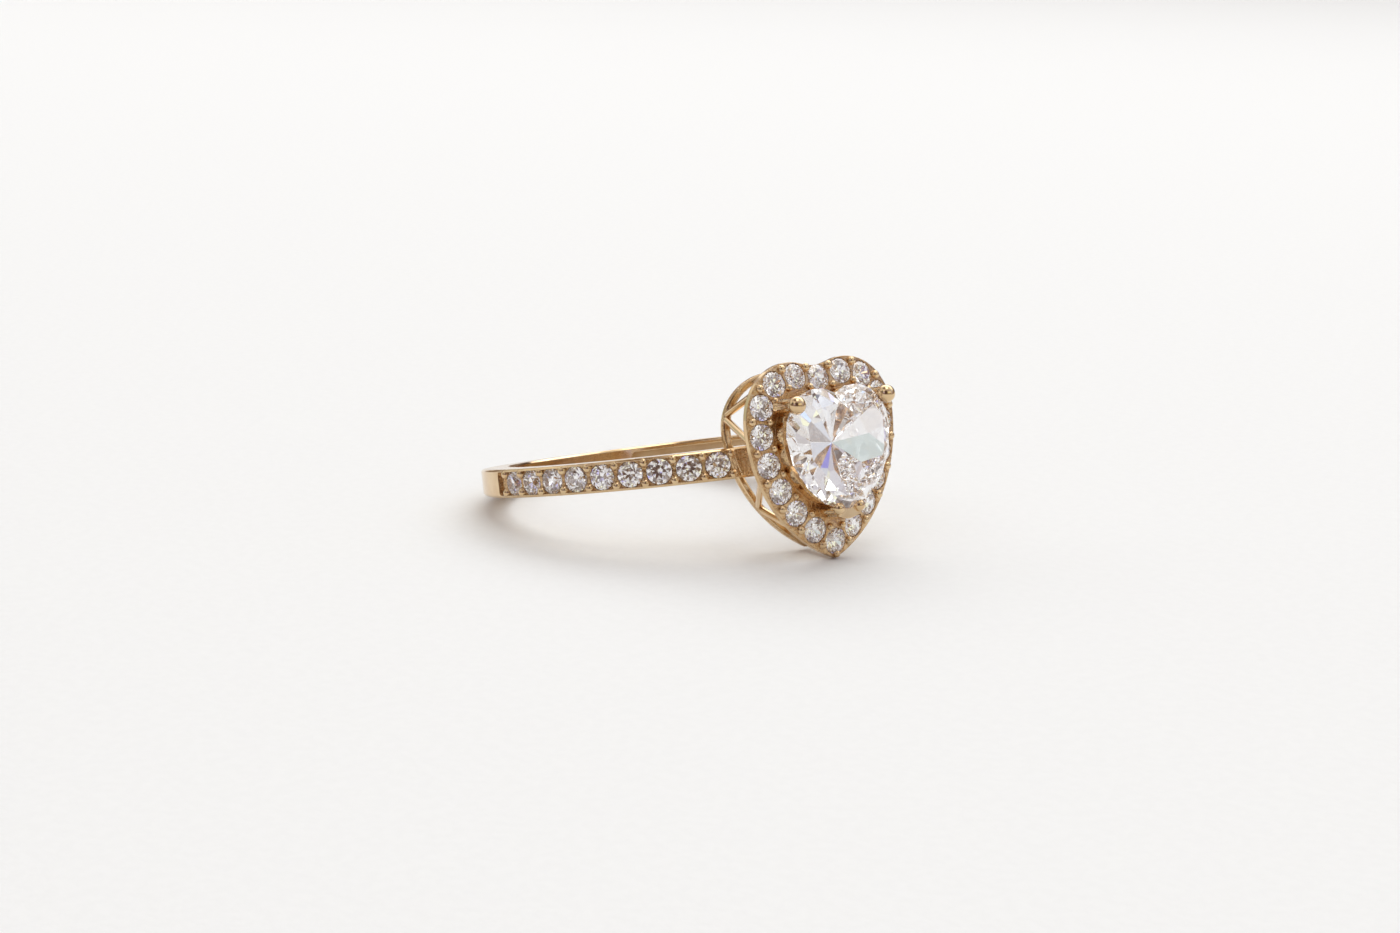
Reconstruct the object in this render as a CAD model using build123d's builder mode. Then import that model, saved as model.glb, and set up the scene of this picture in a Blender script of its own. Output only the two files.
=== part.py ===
from build123d import *
from collections import namedtuple
from math import asin, atan2, cos, degrees, radians, sin, sqrt, tan
import os

os.makedirs("parts", exist_ok=True)

# Heart ring, in millimetres. While it is made, the finger's axis is Z through the origin, the head faces +X
# and the heart's point is towards -Z. At the end the whole ring is laid on its side, as it rests by itself.

# Band
FINGER_RADIUS = 8.5
BAND_WALL = 1.4
HEAD_WIDTH = 1.52
SIDE_WIDTH = 1.4
BACK_WIDTH = 1.15
BAND_SIDE_ANGLE = 104.0
EDGE_BREAK = 0.09
BAND_END_ANGLE = 15.0

# Hollow on the finger side of the band, one each side of the plain back
POCKET_DEPTH = 0.45
POCKET_RIM = 0.27
POCKET_START_ANGLE = 19.0
POCKET_END_ANGLE = 157.0
POCKET_ROUND = 0.25

# Round stones: the gap round each stone, the drilled hole behind it, and the turn from one to the next
PIECE_GAP = 0.025
SEAT_HOLE = 0.4
STONE_TURN = 17.0

# Stone channel of each shoulder
SHOULDER_STONES = 9
SHOULDER_STONE = 1.25
SHOULDER_SPACING = 0.185
FIRST_STONE_ANGLE = 25.6
CHANNEL_DEPTH = 0.16
CHANNEL_RAIL = 0.12
CHANNEL_END = 0.75
CHANNEL_ROUND = 0.15
SHOULDER_TABLE_PROUD = 0.03
SHOULDER_BEAD = 0.24
SHOULDER_BEAD_INSET = 0.25
SHOULDER_BEAD_SINK = 0.16

# Halo: the stones' middle line, and the plate with its rims beyond that line. Under the stones the plate
# slopes down to its edge, and they lean with the slope.
HALO_STONE = 1.25
HALO_SPACING = 0.16
HALO_HEIGHT = 12.08
HALO_LOBE_SIDE = 1.73
HALO_LOBE_RISE = 1.65
HALO_LOBE_RADIUS = 2.24
HALO_POINT = 4.28
HALO_CLEFT_STONE = 3.7
HALO_START_ANGLE = 97.0
HALO_TABLE_PROUD = 0.15
PLATE_SIDE_RIM = 0.74
PLATE_TOP_RIM = 0.68
PLATE_POINT_RIM = 0.82
PLATE_LOBE_RADIUS = 2.93
PLATE_CLEFT_ROUND = 3.0
PLATE_WALL = 0.49
PLATE_SLOPE_DROP = 0.25
PLATE_SLOPE_WIDTH = 1.15
OUTER_BEAD = 0.21
INNER_BEAD = 0.17
OUTER_BEAD_OFFSET = 0.44
INNER_BEAD_OFFSET = 0.5
BEAD_RISE = 0.04

# Gallery under the plate: a rail on the round of the band, and struts from it that sink into the plate
RAIL_SIDE_INSET = 0.88
RAIL_TOP_INSET = 0.42
RAIL_POINT_INSET = 0.55
RAIL_LOBE_RADIUS = 2.6
RAIL_WIDTH = 0.36
RAIL_HEIGHT = 0.36
RAIL_ROUND = 0.1
RAIL_STEP = 0.05
STRUT_RADIUS = 0.17
STRUT_SINK = 0.12

# Centre stone, its seat wall, prongs and claw
HEART_GIRDLE_HEIGHT = 13.05
HEART_LOBE_SIDE = 1.15
HEART_LOBE_RISE = 1.05
HEART_LOBE_RADIUS = 2.15
HEART_POINT = 2.8
HEART_CROWN = 0.55
HEART_GIRDLE = 0.08
HEART_PAVILION = 2.6
CULET_RISE = 0.5
SEAT_WALL_INSET = 0.1
SEAT_WALL = 0.4
SEAT_WALL_DROP = 0.42
PRONG_POST = 0.36
PRONG_BALL = 0.44
PRONG_BEARING = 40.5
PRONG_STAND_OFF = 0.12
PRONG_RISE = 0.45
CLAW_WALL = 0.4
CLAW_REACH = 0.7
CLAW_RISE = 0.12
CLAW_BEAD = 0.3
CLAW_BEAD_RUN = 0.16

# Slanted struts of the gallery on each side: how far up or down the heart each one meets the rail and the
# plate, as shares of the height of a lobe's centre above the finger's axis.
Strut = namedtuple("Strut", "name on_rail on_plate")
STRUTS = (
    Strut("upper lobe", 1.42, 1.94),
    Strut("upper shoulder", 1.30, 0.62),
    Strut("lower shoulder", -1.36, -0.55),
    Strut("lower side", -1.45, -1.94),
)

# Facets of the round stones: slopes in degrees, reach and height as shares of the girdle's radius. A turn
# is a share of the step from one facet of the row to the next.
Facet = namedtuple("Facet", "name count turn slope reach height")
CROWN_SHARE = 0.30
GIRDLE_SHARE = 0.06
UPPER_SLOPE = 40.7
SEAT_SLOPE = 43.0
ROUND_FACETS = (
    Facet("crown main", 8, 0.0, 34.5, 1.0, 0.0),
    Facet("upper girdle", 16, 0.5, UPPER_SLOPE, 0.981, 0.0),
    Facet("star", 8, 0.5, 21.2, 0.521, CROWN_SHARE),
    Facet("lower girdle", 16, 0.5, -42.9, 0.981, -GIRDLE_SHARE),
    Facet("pavilion main", 8, 0.0, -41.0, 1.0, -GIRDLE_SHARE),
)
GIRDLE_SIDES = 16

# Facets of the heart: how many girdle edges each lobe and each side has, and the crown's slopes in degrees.
LOBE_EDGES = 6
SIDE_EDGES = 4
HEART_MAIN_SLOPE = 38.0
HEART_UPPER_SLOPE = 45.0
HEART_STAR_SLOPE = 24.0
HEART_STAR_SHARE = 0.6
HEART_LOWER_REACH = 1.1

# How closely an edge follows a direction to count as running along it, as the cosine between them
SAME_WAY = 0.99

band_outer = FINGER_RADIUS + BAND_WALL
plate_back = HALO_HEIGHT - PLATE_WALL
strut_end = plate_back + STRUT_SINK


class Heart:
    """A heart outline: two round lobes, sides that leave them without a corner, a point and a cleft."""

    def __init__(self, lobe_side, lobe_rise, lobe_radius, point, cleft_round=0.0):
        self.lobe = Vector(lobe_side, lobe_rise)
        self.lobe_radius = lobe_radius
        self.half_width = lobe_side + lobe_radius
        self.point = point
        self.cleft_round = cleft_round
        drop = point + lobe_rise
        self.side_radius = (self.half_width**2 + drop**2) / (2 * self.half_width)

    def grown(self, amount):
        """The parallel outline, further out by the amount."""
        side_radius = self.side_radius + amount
        centre = self.half_width - self.side_radius
        point = sqrt(side_radius**2 - centre**2) - self.lobe.Y
        cleft_round = max(self.cleft_round - amount, 0.0)
        return Heart(self.lobe.X, self.lobe.Y, self.lobe_radius + amount, point, cleft_round)

    def spread(self, side, top, point, lobe_radius, cleft_round):
        """A heart of other lobes, further out at its sides, over its lobes and at its point."""
        lobe_side = self.half_width + side - lobe_radius
        lobe_rise = self.lobe.Y + self.lobe_radius + top - lobe_radius
        return Heart(lobe_side, lobe_rise, lobe_radius, self.point + point, cleft_round)

    def width_at(self, rise):
        """Half the heart's width at this height."""
        if rise > self.lobe.Y:
            return self.lobe.X + sqrt(self.lobe_radius**2 - (rise - self.lobe.Y) ** 2)
        return self.half_width - self.side_radius + sqrt(self.side_radius**2 - (rise - self.lobe.Y) ** 2)

    def cleft_centre(self):
        """Centre of the round that softens the cleft."""
        reach = self.lobe_radius + self.cleft_round
        return Vector(0, self.lobe.Y + sqrt(reach**2 - self.lobe.X**2))

    def lobe_end(self):
        """Where the lobe stops at the cleft."""
        if self.cleft_round == 0:
            return self.cleft_centre()
        return self.lobe + (self.cleft_centre() - self.lobe).normalized() * self.lobe_radius

    def right_half(self):
        """The open outline of the right half, from the point up to the cleft."""
        with BuildLine() as half:
            side = TangentArc((self.half_width, self.lobe.Y), (0, -self.point), tangent=(0, -1))
            over = self.lobe + Vector(0, self.lobe_radius)
            ThreePointArc(side @ 0, over, self.lobe_end())
            if self.cleft_round > 0:
                low = self.cleft_centre() - Vector(0, self.cleft_round)
                turn = asin(self.lobe_end().X / self.cleft_round) / 2
                middle = self.cleft_centre() + Vector(sin(turn), -cos(turn)) * self.cleft_round
                ThreePointArc(self.lobe_end(), middle, low)
        return half.line

    def face(self):
        """The filled heart."""
        with BuildSketch() as filled:
            with BuildLine():
                add(self.right_half())
                mirror(about=Plane.YZ)
            make_face()
        return filled.sketch

    def corners(self):
        """Corners of the cut girdle's right half, from the cleft over the lobe to the point."""
        end = self.lobe_end() - self.lobe
        sweep = degrees(atan2(end.Y, end.X))
        around = [Vector(self.lobe_radius, 0).rotate(Axis.Z, sweep * (1 - k / LOBE_EDGES)) + self.lobe
                  for k in range(LOBE_EDGES + 1)]
        centre = Vector(self.half_width - self.side_radius, self.lobe.Y)
        side_sweep = degrees(asin((self.point + self.lobe.Y) / self.side_radius))
        down = [centre + Vector(self.side_radius, 0).rotate(Axis.Z, -side_sweep * k / SIDE_EDGES)
                for k in range(1, SIDE_EDGES + 1)]
        return around + down


halo_line = Heart(HALO_LOBE_SIDE, HALO_LOBE_RISE, HALO_LOBE_RADIUS, HALO_POINT)
plate_edge = halo_line.spread(
    PLATE_SIDE_RIM, PLATE_TOP_RIM, PLATE_POINT_RIM, PLATE_LOBE_RADIUS, PLATE_CLEFT_ROUND
)
rail_edge = plate_edge.spread(
    -RAIL_SIDE_INSET, -RAIL_TOP_INSET, -RAIL_POINT_INSET, RAIL_LOBE_RADIUS, PLATE_CLEFT_ROUND
)
heart_edge = Heart(HEART_LOBE_SIDE, HEART_LOBE_RISE, HEART_LOBE_RADIUS, HEART_POINT)
seat_edge = heart_edge.grown(-SEAT_WALL_INSET)


def facet_plane(point, bearing, slope):
    """The plane of a facet through a point, facing a bearing; a negative slope faces down."""
    tilt = radians(slope)
    outward = Vector(sin(abs(tilt)), 0, cos(tilt) if slope > 0 else -cos(tilt)).rotate(Axis.Z, bearing)
    return Plane(origin=point, z_dir=outward)


def three_point_plane(a, b, c):
    """The plane through three points, facing away from the stone's axis."""
    normal = (b - a).cross(c - a).normalized()
    outward = Vector(a.X + b.X, a.Y + b.Y) / 2 - Vector(0, CULET_RISE)
    return Plane(origin=a, z_dir=normal if normal.dot(outward) > 0 else normal * -1)


def round_brilliant(radius):
    """A round stone with its table up and the top of its girdle at the origin."""
    depth = radius * (1 + GIRDLE_SHARE)
    crown = radius * CROWN_SHARE
    with BuildPart() as stone:
        with BuildSketch(Plane.XY.offset(-depth)):
            RegularPolygon(radius, GIRDLE_SIDES)
        extrude(amount=depth + crown)
        for row in ROUND_FACETS:
            for k in range(row.count):
                bearing = 360 / row.count * (k + row.turn)
                at = Vector(row.reach * radius, 0, row.height * radius).rotate(Axis.Z, bearing)
                split(bisect_by=facet_plane(at, bearing, row.slope), keep=Keep.BOTTOM)
    return stone.part


def round_seat(radius, drill):
    """What is cut from the metal for a round stone: its seat, the light above it and a drilled hole."""
    girdle = radius + PIECE_GAP
    crown = radius * CROWN_SHARE + PIECE_GAP
    belly = -radius * GIRDLE_SHARE - PIECE_GAP
    neck = girdle - crown / tan(radians(UPPER_SLOPE))
    hole = SEAT_HOLE / 2
    cone = belly - (girdle - hole) * tan(radians(SEAT_SLOPE))
    with BuildPart() as seat:
        with BuildSketch(Plane.XZ):
            with BuildLine():
                Polyline(
                    (0, cone), (hole, cone), (girdle, belly), (girdle, PIECE_GAP),
                    (neck, crown), (neck, 2 * radius), (0, 2 * radius), close=True
                )
            make_face()
        revolve(axis=Axis.Z)
        with Locations((0, 0, drill)):
            Cylinder(hole, -drill, align=(Align.CENTER, Align.CENTER, Align.MIN))
    return seat.part


def heart_brilliant(grow):
    """The heart stone, or with a growth the space cut for it; table up, top of the girdle at the origin."""
    edge = heart_edge.grown(grow)
    crown = HEART_CROWN + grow
    belly = -HEART_GIRDLE - grow
    depth = HEART_PAVILION + HEART_GIRDLE + 2 * grow
    corners = edge.corners()
    culet = Vector(0, CULET_RISE, -depth)
    below_culet = Vector(0, CULET_RISE, belly - (depth + belly) * HEART_LOWER_REACH)
    inset = HEART_CROWN / tan(radians(HEART_MAIN_SLOPE))
    with BuildPart() as stone:
        with BuildSketch(Plane.XY.offset(-depth)):
            with BuildLine():
                Polyline(*corners, close=True)
            make_face()
        extrude(amount=depth + crown)
        for start, end in zip(corners, corners[1:]):
            along = end - start
            bearing = degrees(atan2(along.X, -along.Y))
            lift = Vector(0, 0, grow)
            split(bisect_by=facet_plane(start + lift, bearing, HEART_UPPER_SLOPE), keep=Keep.BOTTOM)
            drop = Vector(0, 0, belly)
            split(bisect_by=three_point_plane(start + drop, end + drop, below_culet), keep=Keep.BOTTOM)
        for before, corner, after in zip(corners[0::2], corners[1::2], corners[2::2]):
            along = after - before
            bearing = degrees(atan2(along.X, -along.Y))
            split(bisect_by=facet_plane(corner + Vector(0, 0, grow), bearing, HEART_MAIN_SLOPE),
                  keep=Keep.BOTTOM)
            side = corner + Vector(0, 0, belly)
            split(bisect_by=three_point_plane(side - along, side + along, culet), keep=Keep.BOTTOM)
        for corner, before, after in zip(corners[2:-1:2], corners[1::2], corners[3::2]):
            along = after - before
            bearing = degrees(atan2(along.X, -along.Y))
            inward = Vector(-inset * HEART_STAR_SHARE, 0).rotate(Axis.Z, bearing)
            rise = HEART_STAR_SHARE * inset * tan(radians(HEART_MAIN_SLOPE))
            at = corner + inward + Vector(0, 0, rise + grow)
            split(bisect_by=facet_plane(at, bearing, HEART_STAR_SLOPE), keep=Keep.BOTTOM)
        mirror(about=Plane.YZ)
    return stone.part


def sector(inner, outer, start, end):
    """A piece of a flat ring between two radii and two angles."""
    with BuildSketch() as piece:
        with BuildLine():
            near = CenterArc((0, 0), inner, start, end - start)
            far = CenterArc((0, 0), outer, start, end - start)
            Line(near @ 0, far @ 0)
            Line(near @ 1, far @ 1)
        make_face()
    return piece.sketch


def band_side(inset):
    """The band seen from the side, widest at the head, with each edge moved in by the inset."""
    side_x = band_outer * cos(radians(BAND_SIDE_ANGLE))
    with BuildSketch() as outline:
        with BuildLine():
            Polyline(
                (band_outer, 0),
                (band_outer, HEAD_WIDTH / 2 - inset),
                (side_x, SIDE_WIDTH / 2 - inset),
                (-band_outer, BACK_WIDTH / 2 - inset),
                (-band_outer, 0),
            )
            mirror(about=Plane.XZ)
        make_face()
    return outline.sketch


def end_edges(part, angle):
    """The edges of a groove's end that run outwards at this angle."""
    ray = Vector(1, 0).rotate(Axis.Z, angle)
    return part.edges().filter_by(
        lambda e: all((e @ t).normalized().dot(ray) > SAME_WAY for t in (0, 1))
        and abs((e @ 1 - e @ 0).normalized().dot(ray)) > SAME_WAY
    )


def bar(start, end, radius):
    """A round bar from one point to another."""
    length = (end - start).length
    with BuildPart(Plane(origin=start, z_dir=end - start)) as rod:
        Cylinder(radius, length, align=(Align.CENTER, Align.CENTER, Align.MIN))
    return rod.part


# Places of the round stones: the origin of each plane is on the girdle, and its normal leaves the table.
plate_slope = PLATE_SLOPE_DROP / PLATE_SLOPE_WIDTH
plate_at_stones = HALO_HEIGHT - PLATE_SLOPE_DROP + plate_slope * PLATE_SIDE_RIM
halo_lean = degrees(atan2(PLATE_SLOPE_DROP, PLATE_SLOPE_WIDTH))
halo_girdle_height = plate_at_stones + HALO_TABLE_PROUD - HALO_STONE / 2 * CROWN_SHARE
shoulder_girdle_radius = band_outer + SHOULDER_TABLE_PROUD - SHOULDER_STONE / 2 * CROWN_SHARE
stone_step = degrees((SHOULDER_STONE + SHOULDER_SPACING) / shoulder_girdle_radius)
last_stone_angle = FIRST_STONE_ANGLE + (SHOULDER_STONES - 1) * stone_step
channel_end_angle = last_stone_angle + degrees((SHOULDER_STONE / 2 + CHANNEL_END) / band_outer)


def head_plane(at, height, lean=0.0, outward=Vector(0, 1)):
    """A plane that faces out of the head at a place on the heart, or leans outwards from it."""
    along = Vector(0, outward.Y, -outward.X)
    normal = Vector(cos(radians(lean)), sin(radians(lean)) * outward.X, sin(radians(lean)) * outward.Y)
    return Plane(origin=(height, at.X, at.Y), x_dir=along, z_dir=normal)


def band_plane(angle, radius, rise=0.0):
    """A plane that faces outwards at an angle round the band, raised along the finger's axis."""
    ray = Vector(1, 0).rotate(Axis.Z, angle)
    return Plane(origin=ray * radius + Vector(0, 0, rise), x_dir=(0, 0, 1), z_dir=ray)


# The halo's middle line from beside the cleft, over the lobe and down to the point, shared out evenly.
with BuildLine() as halo_run:
    over_lobe = CenterArc(halo_line.lobe, HALO_LOBE_RADIUS, HALO_START_ANGLE, -HALO_START_ANGLE)
    TangentArc(over_lobe @ 1, (0, -HALO_POINT), tangent=(0, -1))
run = halo_run.wires()[0]
halo_count = round(run.length / (HALO_STONE + HALO_SPACING))
cleft_place = Vector(0, HALO_CLEFT_STONE)


def halo_plane(at, outward):
    """The plane of a halo stone's girdle."""
    return head_plane(at, halo_girdle_height, halo_lean, outward)


halo_seats = {"halo_stone_cleft": halo_plane(cleft_place, Vector(0, 1))}
for side, sign in (("right", 1), ("left", -1)):
    for k in range(halo_count):
        place = run @ (k / halo_count)
        outward = (run % (k / halo_count)).rotate(Axis.Z, 90)
        at = Vector(sign * place.X, place.Y)
        halo_seats[f"halo_stone_{side}_{k + 1}"] = halo_plane(at, Vector(sign * outward.X, outward.Y))
halo_seats["halo_stone_tip"] = halo_plane(run @ 1, Vector(0, -1))
shoulder_seats = {}
for side, sign in (("right", 1), ("left", -1)):
    for k in range(SHOULDER_STONES):
        angle = sign * (FIRST_STONE_ANGLE + k * stone_step)
        shoulder_seats[f"shoulder_stone_{side}_{k + 1}"] = band_plane(angle, shoulder_girdle_radius)

# The band: an open ring, widest at the head, with a groove for the stones and a hollow inside each shoulder.
with BuildPart() as band:
    with BuildSketch(Plane.XY):
        add(sector(FINGER_RADIUS, band_outer, BAND_END_ANGLE, 180))
    extrude(amount=HEAD_WIDTH, both=True)
    with BuildSketch(Plane.XZ):
        add(band_side(0))
    extrude(amount=band_outer, both=True, mode=Mode.INTERSECT)
    rims = band.edges().filter_by(lambda e: e.length > band_outer)
    chamfer(rims, EDGE_BREAK)
    mirror(about=Plane.XZ)

with BuildPart() as channel:
    with BuildSketch(Plane.XY):
        add(sector(band_outer - CHANNEL_DEPTH, band_outer + BAND_WALL, 0, channel_end_angle))
    extrude(amount=HEAD_WIDTH, both=True)
    with BuildSketch(Plane.XZ):
        add(band_side(CHANNEL_RAIL))
    extrude(amount=band_outer + BAND_WALL, both=True, mode=Mode.INTERSECT)
    fillet(end_edges(channel, channel_end_angle), CHANNEL_ROUND)
    mirror(about=Plane.XZ)

with BuildPart() as pocket:
    with BuildSketch(Plane.XY):
        floor_radius = FINGER_RADIUS + POCKET_DEPTH
        add(sector(FINGER_RADIUS - BAND_WALL, floor_radius, POCKET_START_ANGLE, POCKET_END_ANGLE))
    extrude(amount=HEAD_WIDTH, both=True)
    with BuildSketch(Plane.XZ):
        add(band_side(POCKET_RIM))
    extrude(amount=band_outer, both=True, mode=Mode.INTERSECT)
    fillet(end_edges(pocket, POCKET_START_ANGLE) + end_edges(pocket, POCKET_END_ANGLE), POCKET_ROUND)
    mirror(about=Plane.XZ)

# The halo plate, open under the centre stone, with its seat wall standing on it.
with BuildPart() as plate:
    with BuildSketch(Plane.YZ.offset(plate_back)):
        add(plate_edge.face())
    extrude(amount=PLATE_WALL)
    front = plate.faces().sort_by(Axis.X)[-1]
    chamfer(front.edges(), PLATE_SLOPE_WIDTH, PLATE_SLOPE_DROP, reference=front)
    with BuildSketch(Plane.YZ.offset(plate_back)):
        add(seat_edge.face())
    extrude(amount=HEART_GIRDLE_HEIGHT - SEAT_WALL_DROP - plate_back)
    with BuildSketch(Plane.YZ.offset(plate_back)):
        add(seat_edge.grown(-SEAT_WALL).face())
    extrude(amount=HEART_GIRDLE_HEIGHT - plate_back, mode=Mode.SUBTRACT)

# The curved rail of the gallery, cut to the round of the band.
rail_outer = band_outer - RAIL_STEP
rail_middle = rail_outer - RAIL_HEIGHT / 2
with BuildPart() as rail:
    with BuildSketch(Plane.YZ):
        add(rail_edge.face())
        add(rail_edge.grown(-RAIL_WIDTH).face(), mode=Mode.SUBTRACT)
    extrude(amount=band_outer)
    with BuildSketch(Plane.XY):
        Circle(rail_outer)
        Circle(rail_outer - RAIL_HEIGHT, mode=Mode.SUBTRACT)
    extrude(amount=plate_edge.point, both=True, mode=Mode.INTERSECT)
    fillet(rail.edges(), RAIL_ROUND)

rail_line = rail_edge.grown(-RAIL_WIDTH / 2)
strut_line = plate_edge.grown(-STRUT_RADIUS)


def on_rail(side, rise):
    """A place inside the rail, at a height on the heart."""
    return Vector(sqrt(rail_middle**2 - side**2), side, rise)


with BuildPart() as gallery:
    add(rail.part)
    for strut in STRUTS:
        low_rise = strut.on_rail * HALO_LOBE_RISE
        high_rise = strut.on_plate * HALO_LOBE_RISE
        foot = on_rail(rail_line.width_at(low_rise), low_rise)
        top = Vector(strut_end, strut_line.width_at(high_rise), high_rise)
        add(bar(foot, top, STRUT_RADIUS))
    tip_top = Vector(strut_end, 0, -strut_line.point + STRUT_RADIUS)
    add(bar(on_rail(0, -rail_line.point + STRUT_RADIUS / 2), tip_top, STRUT_RADIUS))
    mirror(about=Plane.XZ)

# Prongs of the centre stone: a post and a ball by each lobe, and a V claw with two beads round the point.
bearing = Vector(1, 0).rotate(Axis.Z, PRONG_BEARING)
prong = heart_edge.lobe + bearing * (HEART_LOBE_RADIUS + PRONG_STAND_OFF)
claw_rise = -heart_edge.point + CLAW_BEAD_RUN
claw = Vector(heart_edge.width_at(claw_rise), claw_rise)
with BuildPart() as grip:
    for at, top, post, knob in (
        (prong, HEART_GIRDLE_HEIGHT + PRONG_RISE, PRONG_POST, PRONG_BALL),
        (claw, HEART_GIRDLE_HEIGHT + CLAW_RISE, CLAW_BEAD, CLAW_BEAD),
    ):
        add(bar(Vector(strut_end, at.X, at.Y), Vector(top, at.X, at.Y), post))
        with Locations((top, at.X, at.Y)):
            Sphere(knob)
    with BuildSketch(Plane.YZ.offset(strut_end)):
        add(heart_edge.grown(CLAW_WALL).face())
        add(heart_edge.grown(-CLAW_WALL).face(), mode=Mode.SUBTRACT)
        with Locations((0, -heart_edge.point)):
            Rectangle(2 * CLAW_REACH, 2 * heart_edge.point, mode=Mode.INTERSECT)
    extrude(amount=HEART_GIRDLE_HEIGHT + CLAW_RISE - strut_end)
    mirror(about=Plane.XZ)

# Small beads that hold the round stones: pairs between neighbours, one over the point, and two rows on
# each shoulder that run one bead past the stones at each end.
outer_beads = []
inner_beads = []
for k in range(halo_count):
    at = (k + 0.5) / halo_count
    outward = (run % at).rotate(Axis.Z, 90)
    outer_beads.append(run @ at + outward * OUTER_BEAD_OFFSET)
    inner_beads.append(run @ at - outward * INNER_BEAD_OFFSET)
beside_cleft = (cleft_place + run @ 0) / 2
outer_beads.append(beside_cleft + Vector(0, OUTER_BEAD_OFFSET))
inner_beads.append(beside_cleft - Vector(0, INNER_BEAD_OFFSET))
with BuildPart() as halo_beads:
    outer_height = plate_at_stones - plate_slope * OUTER_BEAD_OFFSET + BEAD_RISE
    with Locations(*[(outer_height, at.X, at.Y) for at in outer_beads]):
        Sphere(OUTER_BEAD)
    with Locations(*[(HALO_HEIGHT + BEAD_RISE, at.X, at.Y) for at in inner_beads]):
        Sphere(INNER_BEAD)
    mirror(about=Plane.XZ)
    with Locations((outer_height, 0, -HALO_POINT - HALO_STONE / 2)):
        Sphere(INNER_BEAD)


def band_half_width(angle):
    """Half the band's width at an angle from the head, no further back than the end of its first taper."""
    side_x = band_outer * cos(radians(BAND_SIDE_ANGLE))
    share = (band_outer * cos(radians(angle)) - side_x) / (band_outer - side_x)
    return (SIDE_WIDTH + (HEAD_WIDTH - SIDE_WIDTH) * share) / 2


bead_angles = [FIRST_STONE_ANGLE + (k - 0.5) * stone_step for k in range(SHOULDER_STONES + 1)]
bead_radius = band_outer - SHOULDER_BEAD_SINK
with BuildPart() as shoulder_beads:
    for angle in bead_angles:
        rise = band_half_width(angle) - SHOULDER_BEAD_INSET
        for way in (1, -1):
            with Locations(band_plane(angle, bead_radius, way * rise)):
                Sphere(SHOULDER_BEAD)
    mirror(about=Plane.XZ)

# The soldered metal, with every seat cut to its stone and a small gap.
with BuildPart() as metal:
    add(band.part)
    add(channel.part, mode=Mode.SUBTRACT)
    add(pocket.part, mode=Mode.SUBTRACT)
    add([plate.part, gallery.part, grip.part, halo_beads.part, shoulder_beads.part])
    with Locations(*halo_seats.values()):
        add(round_seat(HALO_STONE / 2, plate_back - halo_girdle_height), mode=Mode.SUBTRACT)
    with Locations(*shoulder_seats.values()):
        add(round_seat(SHOULDER_STONE / 2, FINGER_RADIUS - shoulder_girdle_radius), mode=Mode.SUBTRACT)
    with Locations(head_plane(Vector(), HEART_GIRDLE_HEIGHT)):
        add(heart_brilliant(PIECE_GAP), mode=Mode.SUBTRACT)

# Laid on its side, the ring touches the floor with the back of the plate's point and with the lower edge of
# the band's back. The origin is on the floor, under the middle of the ring's box.
tilt = atan2(plate_edge.point - BACK_WIDTH / 2, plate_back + band_outer - EDGE_BREAK)
laid = Plane(origin=(0, 0, 0), x_dir=(cos(tilt), 0, sin(tilt)), z_dir=(-sin(tilt), 0, cos(tilt)))
with BuildPart(laid) as laid_metal:
    add(metal.part)
box = laid_metal.part.bounding_box()
rest = Plane(origin=(-box.center().X, 0, -box.min.Z), x_dir=laid.x_dir, z_dir=laid.z_dir)

with BuildPart(rest) as gold_ring:
    add(metal.part)
gold_ring.part.label = "gold_ring"
export_step(gold_ring.part, "parts/gold_ring.step")

with BuildPart(Plane(rest.location * head_plane(Vector(), HEART_GIRDLE_HEIGHT).location)) as heart_stone:
    add(heart_brilliant(0))
heart_stone.part.label = "heart_stone"
export_step(heart_stone.part, "parts/heart_stone.step")

for row, size in ((halo_seats, HALO_STONE), (shoulder_seats, SHOULDER_STONE)):
    brilliant = round_brilliant(size / 2)
    for k, (name, seat) in enumerate(row.items()):
        with BuildPart(Plane(rest.location * seat.location)) as round_stone:
            add(brilliant.rotate(Axis.Z, STONE_TURN * k))
        round_stone.part.label = name
        export_step(round_stone.part, f"parts/{name}.step")
    print(f"{len(row)} round stones of {size} mm, {brilliant.volume:.3f} mm3 each")

print(f"tilt {degrees(tilt):.2f} degrees, box {gold_ring.part.bounding_box()}")
print(f"metal {gold_ring.part.volume:.1f} mm3, heart {heart_stone.part.volume:.1f} mm3")
print(f"finger axis through {rest.origin}, along {rest.z_dir}")
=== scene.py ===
import math
from collections import namedtuple

import bpy
from mathutils import Matrix, Vector

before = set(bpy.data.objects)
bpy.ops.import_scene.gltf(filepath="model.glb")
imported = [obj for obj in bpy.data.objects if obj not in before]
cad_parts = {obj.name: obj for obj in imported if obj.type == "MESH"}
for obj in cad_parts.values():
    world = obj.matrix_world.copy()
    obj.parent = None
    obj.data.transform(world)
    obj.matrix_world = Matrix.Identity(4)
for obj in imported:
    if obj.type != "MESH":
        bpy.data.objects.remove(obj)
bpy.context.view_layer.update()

MM = 0.001

# Heart ring lying on its side, in metres. A place on it is told in the ring's own directions, from the middle
# of the finger hole: X out through the head, Z along the finger. LIE is how far the head is raised.
FINGER_MIDDLE = Vector((-1.973, 0.0, 2.593)) * MM
LIE = math.radians(11.94)
HEAD_WAY = Vector((math.cos(LIE), 0.0, math.sin(LIE)))
FINGER_RADIUS = 8.5 * MM
BAND_OUTER = 9.9 * MM
POCKET_DEPTH = 0.45 * MM

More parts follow.
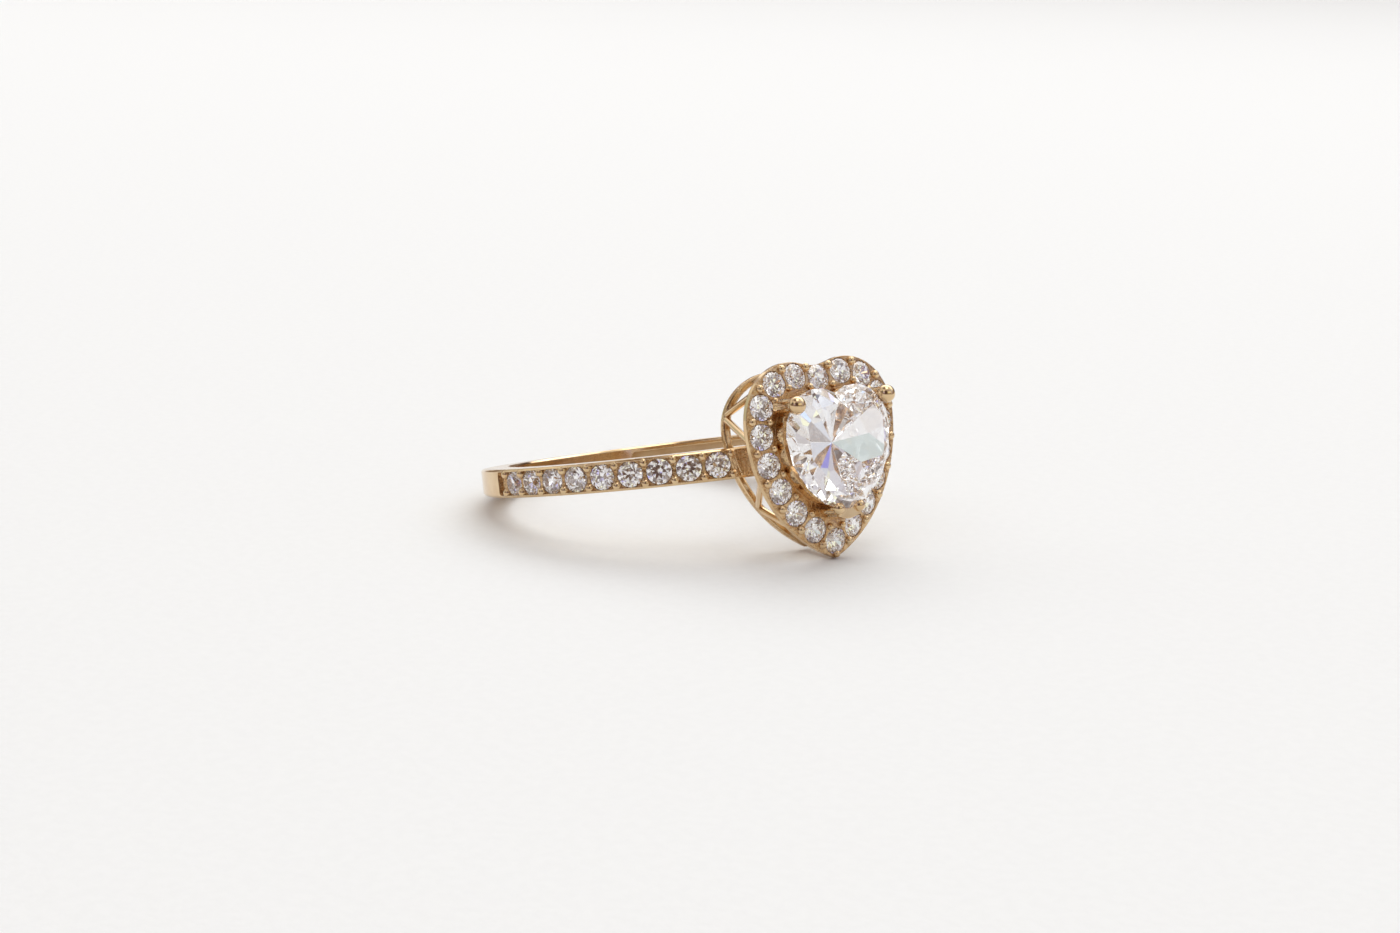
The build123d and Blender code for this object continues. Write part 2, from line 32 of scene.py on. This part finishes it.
# The camera's place, and its turns in degrees
CAMERA_PLACE = Vector((107.83, -89.15, 32.47)) * MM
CAMERA_AZIMUTH = 50.37
CAMERA_ELEVATION = 12.03
CAMERA_ROLL = 1.37
CAMERA_LENS = 72.0
CAMERA_SENSOR = 36.0
CAMERA_NEAR = 1 * MM
CAMERA_FAR = 20.0

# Colours of the gold: its open surfaces; a darker mottle drifting through them, which is a painted reflection
# of dark surroundings; and painted shade, standing in for what the gold mirrors of itself in its hollows and,
# deeper, in their corners
GOLD = (0.765, 0.575, 0.345)
GOLD_PAINTED_REFLECTION = (0.68, 0.485, 0.28)
GOLD_PAINTED_SHADE = (0.52, 0.31, 0.14)
GOLD_PAINTED_CORNER_SHADE = (0.50, 0.29, 0.12)

# Where the gold isn't polished: in the hollow behind the shoulder stones and on the floor of their channel,
# both told by radius, and on the plate's face, told by its distance along the head's way. The hollow is rough
# as cast; the channel floor and the plate's face are cut down, rough and dented, and their colour is darkened
# with painted shade between the stones. Each fades out before its start and after its end.
Stretch = namedtuple("Stretch", "start end fade_in fade_out")
HOLLOW = Stretch(FINGER_RADIUS + 0.2 * MM, FINGER_RADIUS + POCKET_DEPTH + 0.05 * MM, 0.1 * MM, 0.05 * MM)
CHANNEL_FLOOR = Stretch(BAND_OUTER - 0.2 * MM, BAND_OUTER - 0.12 * MM, 0.04 * MM, 0.07 * MM)
PLATE_FACE = Stretch(11.83 * MM, 12.08 * MM, 0.03 * MM, 0.02 * MM)

# Fades at the sides of the hollow, at the channel's end by the plain back, and where the plate's surface
# turns away from the head's way, as the cosine between the two
HOLLOW_SIDE = (0.42 * MM, 0.48 * MM)
CHANNEL_END = (-4.5 * MM, -3.5 * MM)
PLATE_TURN = (0.93, 0.96)

# Marks on the gold: how many there are to a metre, how many finer layers they have, and how strong those are.
# The polishing lines are drawn out along the band, so they have scales of their own, for a radian of the
# band's round and for a metre across it.
Marks = namedtuple("Marks", "scale layers strength")
LINES = Marks(1.0, 4.0, 0.6)
LINES_ALONG = 3.0
LINES_ACROSS = 9000.0
WAVES = Marks(900.0, 2.0, 0.5)
DENTS = Marks(4200.0, 3.0, 0.55)
GRAIN = Marks(14000.0, 3.0, 0.6)

# Roughness of the polish and of the cast hollow, and what the marks add to it
POLISH_ROUGHNESS = 0.07
CAST_ROUGHNESS = 0.22
LINES_ROUGHNESS = 0.06
WAVES_ROUGHNESS = 0.04
DENTS_ROUGHNESS = 0.3
GRAIN_ROUGHNESS = 0.2

# Heights of the marks, in steps of RELIEF
RELIEF = 0.004 * MM
LINES_HEIGHT = 0.15
WAVES_HEIGHT = 2.5
DENTS_HEIGHT = 14.0
GRAIN_HEIGHT = 6.0

# Rounding of the gold's edges, and how near other gold has to be to shade it
EDGE_ROUNDING = 0.06 * MM
SHADE_REACH = 0.6 * MM

# Clear stones: faint marks of polishing, and the roughness that they reach
STONE_TINT = (0.985, 0.985, 1.0)
STONE_IOR = 2.16
STONE_HAZE = 0.03
HEART_MARKS = Marks(4000.0, 3.0, 0.6)
SMALL_MARKS = Marks(9000.0, 3.0, 0.6)

# Paper under the ring
PAPER = (0.87, 0.87, 0.86)
PAPER_DARK = tuple(part * 0.985 for part in PAPER)
PAPER_ROUGHNESS = 0.8
PAPER_RELIEF = 0.02 * MM
PAPER_FIBRE = Marks(1800.0, 4.0, 0.6)
SHEET_SIZE = 6.0

# Soft lamp behind the ring and to its right
SOFTBOX_PLACE = Vector((-0.42, 0.66, 0.80))
SOFTBOX_ACROSS = 1.9
SOFTBOX_DEEP = 0.8
SOFTBOX_SPREAD = math.radians(100.0)
SOFTBOX_COLOUR = (0.96, 0.99, 1.0)
SOFTBOX_POWER = 3.1

# The room that the polish mirrors: its brightness, its colours from the horizon up to the ceiling, the uneven
# white of its cloth, and its dark and coloured places. Each place has a direction, the cosines between which
# it fades in, and a colour.
ROOM_LIGHT = 1.06
HORIZON = (0.22, 0.15, 0.10)
CLOTH_SHADOW = (0.50, 0.46, 0.50)
CLOTH = (0.95, 0.94, 0.91)
CLOTH_FOLDS = Marks(2.2, 2.0, 0.5)
CEILING = (2.6, 2.6, 2.5)
ROOM_PLACES = (
    ("white side wall", Vector((0.82, 0.57, 0.04)), 0.955, 0.982, (0.66, 0.66, 0.70)),
    ("pale green wall", Vector((-0.90, -0.42, 0.06)), 0.90, 0.96, (0.60, 0.67, 0.64)),
    ("dark camera side", Vector((0.60, -0.62, 0.40)), 0.89, 0.93, (0.11, 0.07, 0.055)),
    ("dark far corner", Vector((-0.25, 0.95, 0.24)), 0.93, 0.96, (0.08, 0.05, 0.04)),
    ("dark doorway", Vector((-0.25, -0.88, 0.42)), 0.96, 0.98, (0.12, 0.10, 0.10)),
    ("violet window", Vector((0.56, 0.79, 0.24)), 0.986, 0.992, (0.30, 0.27, 0.72)),
    ("lilac window", Vector((0.30, -0.93, 0.34)), 0.980, 0.990, (0.60, 0.56, 0.95)),
    ("blue window", Vector((0.55, 0.60, 0.62)), 0.975, 0.988, (0.75, 0.92, 1.25)),
    ("yellow window", Vector((0.93, -0.12, 0.42)), 0.972, 0.987, (1.0, 1.0, 0.70)),
    ("brown shelf", Vector((-0.20, -0.30, 0.93)), 0.955, 0.975, (0.20, 0.14, 0.11)),
)

# How often light bounces inside the stones, and what calms its noise
BOUNCES = 96
GLOSS_BLUR = 0.5
BRIGHTEST_BOUNCE = 12.0

# A Mix node's sockets for colours, by number because those for numbers and vectors share their names
MIX_SHARE = 0
MIX_LOW = 6
MIX_HIGH = 7
MIX_RESULT = 2


class Socket:
    """A value of a material, which can be added, multiplied and so on like a number."""

    def __init__(self, tree, link):
        self.tree = tree
        self.link = link

    def node(self, kind, settings=None, values=None, out=0):
        """Any other node of the same material: its type, settings, and what goes into its sockets."""
        made = self.tree.nodes.new(kind)
        for name, value in (settings or {}).items():
            setattr(made, name, value)
        for name, value in (values or {}).items():
            if isinstance(value, Socket):
                self.tree.links.new(value.link, made.inputs[name])
            else:
                made.inputs[name].default_value = value
        return Socket(self.tree, made.outputs[out])

    def math(self, operation, *others):
        return self.node("ShaderNodeMath", {"operation": operation}, dict(enumerate((self, *others))))

    def __add__(self, other):
        return self.math("ADD", other)

    def __mul__(self, other):
        return self.math("MULTIPLY", other)

    def __radd__(self, other):
        return self + other

    def __rmul__(self, other):
        return self * other

    def ramp(self, low, high, start=0.0, end=1.0):
        """Smoothly from start to end while the value goes from low to high."""
        return self.node(
            "ShaderNodeMapRange",
            {"interpolation_type": "SMOOTHSTEP"},
            {"Value": self, "From Min": low, "From Max": high, "To Min": start, "To Max": end},
        )

    def within(self, stretch):
        """1 in a stretch of the value, fading to 0 before and after it."""
        rise = self.ramp(stretch.start - stretch.fade_in, stretch.start)
        fall = self.ramp(stretch.end, stretch.end + stretch.fade_out, 1.0, 0.0)
        return rise * fall


def new_material(name):
    """A material with a plain shader, and its tree's entry for expressions."""
    material = bpy.data.materials.new(name)
    material.use_nodes = True
    tree = material.node_tree
    shader = tree.nodes["Principled BSDF"]
    return material, shader, Socket(tree, None)


def feed(shader, name, value):
    """Links a value to one of the shader's sockets."""
    value.tree.links.new(value.link, shader.inputs[name])


def noise(start, at, marks):
    """Marks at random over a surface, from 0 to 1."""
    values = {"Vector": at, "Scale": marks.scale, "Detail": marks.layers, "Roughness": marks.strength}
    return start.node("ShaderNodeTexNoise", values=values)


def mix(start, share, low, high):
    """A colour between two."""
    values = {MIX_SHARE: share}
    for socket, colour in ((MIX_LOW, low), (MIX_HIGH, high)):
        values[socket] = colour if isinstance(colour, Socket) else (*colour, 1.0)
    return start.node("ShaderNodeMix", {"data_type": "RGBA"}, values, out=MIX_RESULT)


def coordinate(start, place, axis):
    """One coordinate of a place, 0 to 2 for X to Z."""
    return start.node("ShaderNodeSeparateXYZ", values={"Vector": place}, out=axis)


def cosine(start, way, toward, label=""):
    """The cosine between a way that changes and a fixed one."""
    settings = {"operation": "DOT_PRODUCT", "label": label}
    return start.node("ShaderNodeVectorMath", settings, {0: way, 1: toward}, out="Value")


def polished_gold():
    """Yellow gold: polished with fine lines outside, cut down between the stones, as cast in the hollows,
    with painted shade in its recesses and corners and a painted reflection mottling its open surfaces.
    """
    material, shader, start = new_material("polished_gold")
    place = start.node("ShaderNodeTexCoord", out="Object")
    outward = start.node("ShaderNodeTexCoord", out="Normal")
    ring_place = start.node(
        "ShaderNodeMapping",
        {"vector_type": "TEXTURE"},
        {"Vector": place, "Location": FINGER_MIDDLE, "Rotation": (0.0, -LIE, 0.0)},
    )
    x = coordinate(start, ring_place, 0)
    y = coordinate(start, ring_place, 1)
    z = coordinate(start, ring_place, 2)
    radius = (x * x + y * y).math("SQRT")
    angle = y.math("ARCTAN2", x)

    # Marks of polishing, wear, cutting and casting
    along_band = start.node(
        "ShaderNodeCombineXYZ",
        values={"X": angle * LINES_ALONG, "Y": radius * LINES_ACROSS, "Z": z * LINES_ACROSS},
    )
    lines = noise(start, along_band, LINES)
    waves = noise(start, place, WAVES)
    dents = noise(start, place, DENTS)
    grain = noise(start, place, GRAIN)

    # Masks of the hollow as cast, and of the gold that is cut down between the stones, which also carries
    # painted shade
    cast = radius.within(HOLLOW) * z.math("ABSOLUTE").ramp(*HOLLOW_SIDE, 1.0, 0.0)
    channel = radius.within(CHANNEL_FLOOR) * x.ramp(*CHANNEL_END)
    plate = x.within(PLATE_FACE) * cosine(start, outward, HEAD_WAY).ramp(*PLATE_TURN)
    cut_down_and_shaded = channel + plate

    # Colour, with painted shade where gold faces gold, found by ambient occlusion and deepest in corners;
    # painted shade in the cut-down recesses between the stones; and a painted reflection mottling the open
    # surfaces
    shade = start.node(
        "ShaderNodeAmbientOcclusion", {"samples": 8}, {"Distance": SHADE_REACH}, out="AO"
    )
    # Painted reflection: a darker mottle over the open gold, standing in for reflections of dark surroundings
    gold_with_painted_reflection = mix(start, waves.ramp(0.35, 0.65), GOLD, GOLD_PAINTED_REFLECTION)
    # Painted shade in the cut-down recesses between the stones, darkest in the pits of the dents
    worked_and_shaded = mix(start, cut_down_and_shaded * dents.ramp(0.35, 0.6, 1.0, 0.3), gold_with_painted_reflection, GOLD_PAINTED_SHADE)
    # Painted shade: darker where ambient occlusion finds gold facing gold, darkest in corners
    shaded = mix(start, shade.ramp(0.3, 0.8), GOLD_PAINTED_SHADE, worked_and_shaded)
    feed(shader, "Base Color", mix(start, shade.ramp(0.05, 0.4), GOLD_PAINTED_CORNER_SHADE, shaded))

    roughness = POLISH_ROUGHNESS + lines * LINES_ROUGHNESS + waves * WAVES_ROUGHNESS
    roughness += cut_down_and_shaded * dents * DENTS_ROUGHNESS + cast * (CAST_ROUGHNESS + grain * GRAIN_ROUGHNESS)
    feed(shader, "Roughness", roughness)

    rounded = start.node("ShaderNodeBevel", {"samples": 6}, {"Radius": EDGE_ROUNDING})
    height = lines * LINES_HEIGHT + waves * WAVES_HEIGHT
    height += cut_down_and_shaded * dents * DENTS_HEIGHT + cast * grain * GRAIN_HEIGHT
    surface = {"Height": height, "Distance": RELIEF, "Normal": rounded}
    feed(shader, "Normal", start.node("ShaderNodeBump", values=surface))
    shader.inputs["Metallic"].default_value = 1.0
    return material


def clear_stone(name, marks):
    """A clear cut stone with a bright polish and the faint marks of polishing."""
    material, shader, start = new_material(name)
    place = start.node("ShaderNodeTexCoord", out="Object")
    feed(shader, "Roughness", noise(start, place, marks).ramp(0.5, 0.8, 0.0, STONE_HAZE))
    shader.inputs["Base Color"].default_value = (*STONE_TINT, 1.0)
    shader.inputs["Transmission Weight"].default_value = 1.0
    shader.inputs["IOR"].default_value = STONE_IOR
    return material


def dress_ring():
    """Gives each piece of the ring its material."""
    gold = polished_gold()
    heart_glass = clear_stone("heart_stone_polish", HEART_MARKS)
    small_glass = clear_stone("small_stone_polish", SMALL_MARKS)
    materials = {"gold_ring": gold, "heart_stone": heart_glass}
    for name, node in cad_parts.items():
        node.data.materials.clear()
        node.data.materials.append(materials.get(name, small_glass))


def paper_floor():
    """A large sheet of off-white paper under the ring."""
    material, shader, start = new_material("white_paper")
    place = start.node("ShaderNodeTexCoord", out="Object")
    fibre = noise(start, place, PAPER_FIBRE)
    feed(shader, "Base Color", mix(start, fibre.ramp(0.35, 0.65), PAPER_DARK, PAPER))
    surface = {"Height": fibre, "Distance": PAPER_RELIEF}
    feed(shader, "Normal", start.node("ShaderNodeBump", values=surface))
    shader.inputs["Roughness"].default_value = PAPER_ROUGHNESS
    bpy.ops.mesh.primitive_plane_add(size=SHEET_SIZE)
    sheet = bpy.context.object
    sheet.name = "paper_floor"
    sheet.data.materials.append(material)


def softbox():
    """A soft rectangular lamp aimed at the ring, which the camera doesn't see."""
    lamp = bpy.data.lights.new("softbox", "AREA")
    lamp.shape = "RECTANGLE"
    lamp.size = SOFTBOX_ACROSS
    lamp.size_y = SOFTBOX_DEEP
    lamp.spread = SOFTBOX_SPREAD
    lamp.color = SOFTBOX_COLOUR
    lamp.energy = SOFTBOX_POWER
    box = bpy.data.objects.new("softbox", lamp)
    bpy.context.scene.collection.objects.link(box)
    box.location = SOFTBOX_PLACE
    box.rotation_euler = (-SOFTBOX_PLACE).to_track_quat("-Z", "Y").to_euler()
    box.visible_camera = False


def white_room():
    """A room hung with white cloth, with a bright ceiling, dark near the horizon."""
    room = bpy.data.worlds.new("white_room")
    bpy.context.scene.world = room
    room.use_nodes = True
    sky = room.node_tree.nodes["Background"]
    start = Socket(room.node_tree, None)
    way = start.node("ShaderNodeTexCoord", out="Generated")
    up = coordinate(start, way, 2)
    folds = noise(start, way, CLOTH_FOLDS)
    cloth = mix(start, folds.ramp(0.40, 0.58), CLOTH_SHADOW, CLOTH)
    colour = mix(start, up.ramp(0.05, 0.5), HORIZON, cloth)
    colour = mix(start, up.ramp(0.94, 0.975), colour, CEILING)
    for name, toward, outside, inside, tint in ROOM_PLACES:
        facing = cosine(start, way, toward.normalized(), name)
        colour = mix(start, facing.ramp(outside, inside), colour, tint)
    feed(sky, "Color", colour)
    sky.inputs["Strength"].default_value = ROOM_LIGHT


def photo_camera():
    """The camera where the photo was taken from, a little above the floor."""
    lens = bpy.data.cameras.new("photo_camera")
    lens.sensor_width = CAMERA_SENSOR
    lens.lens = CAMERA_LENS
    lens.clip_start = CAMERA_NEAR
    lens.clip_end = CAMERA_FAR
    camera = bpy.data.objects.new("photo_camera", lens)
    bpy.context.scene.collection.objects.link(camera)
    turn = Matrix.Rotation(math.radians(CAMERA_AZIMUTH), 4, "Z")
    turn = turn @ Matrix.Rotation(math.radians(90 - CAMERA_ELEVATION), 4, "X")
    turn = turn @ Matrix.Rotation(math.radians(CAMERA_ROLL), 4, "Z")
    camera.matrix_world = Matrix.Translation(CAMERA_PLACE) @ turn
    bpy.context.scene.camera = camera


def picture():
    """How the picture is shown, and how light is followed through the stones."""
    scene = bpy.context.scene
    scene.view_settings.view_transform = "Standard"
    scene.view_settings.exposure = 0.0
    scene.cycles.use_denoising = True
    scene.cycles.denoiser = "OPENIMAGEDENOISE"
    scene.cycles.denoising_prefilter = "ACCURATE"
    scene.cycles.max_bounces = BOUNCES
    scene.cycles.transmission_bounces = BOUNCES
    scene.cycles.glossy_bounces = BOUNCES
    scene.cycles.caustics_reflective = True
    scene.cycles.caustics_refractive = True
    scene.cycles.blur_glossy = GLOSS_BLUR
    scene.cycles.sample_clamp_indirect = BRIGHTEST_BOUNCE


dress_ring()
paper_floor()
softbox()
white_room()
photo_camera()
picture()
